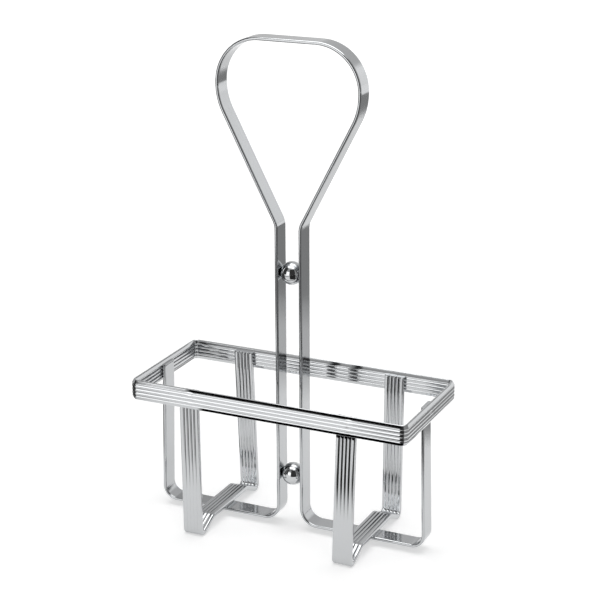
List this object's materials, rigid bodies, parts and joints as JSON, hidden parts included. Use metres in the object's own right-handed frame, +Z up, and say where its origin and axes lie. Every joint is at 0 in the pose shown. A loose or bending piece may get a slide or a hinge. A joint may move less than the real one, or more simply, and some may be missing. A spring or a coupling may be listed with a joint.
{
  "type": "cruet rack",
  "caption": "Free-standing cruet rack of bent chromed strip: reeded top band, cradle straps under the bottles and a tall carrying loop.",
  "frame": {"origin": "on the table, under the middle of the rack", "axes": "+X along the rack through both bottle bays, +Y from the front to the back, +Z up"},
  "size_m": [0.1396, 0.0634, 0.2354],
  "materials": {
    "band_chrome": "bright plate over rolled reeded strip",
    "handle_chrome": "bright plate over flat strip",
    "cradle_chrome": "bright plate over rolled reeded strip",
    "ball_chrome": "bright polished plate"
  },
  "bodies": {
    "root": {"top_band": "band_chrome", "handle_strip": "handle_chrome", "left_cradle_strap": "cradle_chrome", "right_cradle_strap": "cradle_chrome", "upper_spacer_ball": "ball_chrome", "lower_spacer_ball": "ball_chrome"}
  },
  "joints": []
}
